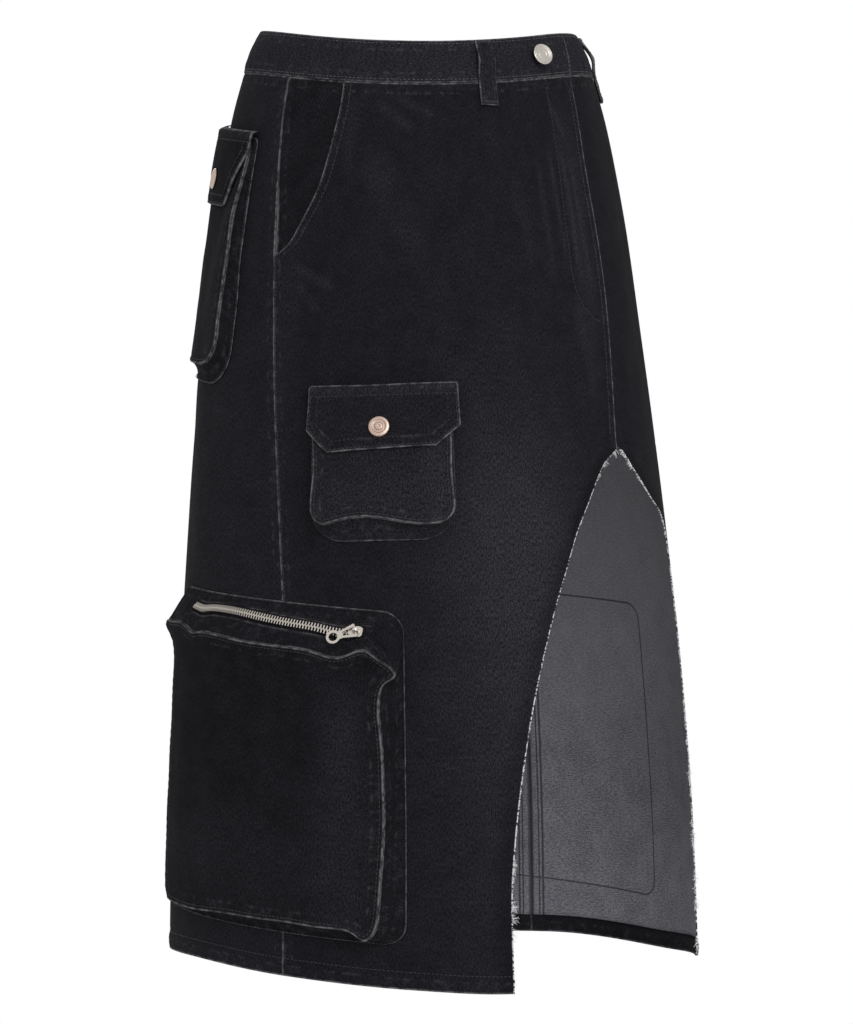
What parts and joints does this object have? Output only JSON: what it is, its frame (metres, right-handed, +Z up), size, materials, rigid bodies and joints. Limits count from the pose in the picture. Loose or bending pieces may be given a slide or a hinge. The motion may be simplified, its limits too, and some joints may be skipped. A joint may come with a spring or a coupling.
{
  "type": "cargo utility skirt",
  "caption": "Midi-length denim cargo skirt with a buttoned waistband, bellows flap pockets, large zipped pockets and a frayed front slit.",
  "frame": {"origin": "centre of the waist opening, level with the waistband's edge at the sides", "axes": "+Z up along the body, -Y towards the wearer's front, +X towards the wearer's left"},
  "size_m": [0.4838, 0.3653, 0.743],
  "materials": {
    "denim": "washed black twill",
    "button_metal": "satin nickel",
    "snap_metal": "aged copper",
    "zip_metal": "polished nickel"
  },
  "bodies": {
    "skirt": {"front_right_panel": "denim", "front_left_panel": "denim", "back_right_panel": "denim", "back_left_panel": "denim", "hip_pocket_facing_right": "denim", "hip_pocket_facing_left": "denim", "waistband": "denim", "belt_loop_right": "denim", "belt_loop_left": "denim", "belt_loop_back": "denim", "waist_button": "button_metal", "front_flap_pocket_face": "denim", "front_flap_pocket_gusset": "denim", "front_flap_pocket_flap": "denim", "front_flap_pocket_snap": "snap_metal", "hip_flap_pocket_face": "denim", "hip_flap_pocket_gusset": "denim", "hip_flap_pocket_flap": "denim", "hip_flap_pocket_snap": "snap_metal", "right_zip_pocket_face": "denim", "right_zip_pocket_gusset": "denim", "right_zip_pocket_chain": "zip_metal", "right_zip_pocket_slider": "zip_metal", "left_zip_pocket_face": "denim", "left_zip_pocket_gusset": "denim", "left_zip_pocket_chain": "zip_metal", "left_zip_pocket_slider": "zip_metal"},
    "right_pull": {"right_zip_pocket_pull": "zip_metal"},
    "left_pull": {"left_zip_pocket_pull": "zip_metal"}
  },
  "joints": [
    {"name": "right_pull_swing", "type": "hinge", "parent": "skirt", "child": "right_pull", "pos_m": [-0.22013, -0.07159, -0.46997], "axis": [0.2929, 0.4418, 0.848], "range_deg": [0, 150]},
    {"name": "left_pull_swing", "type": "hinge", "parent": "skirt", "child": "left_pull", "pos_m": [0.22013, -0.0716, -0.46998], "axis": [0.292, -0.4414, -0.8484], "range_deg": [0, 150]}
  ]
}
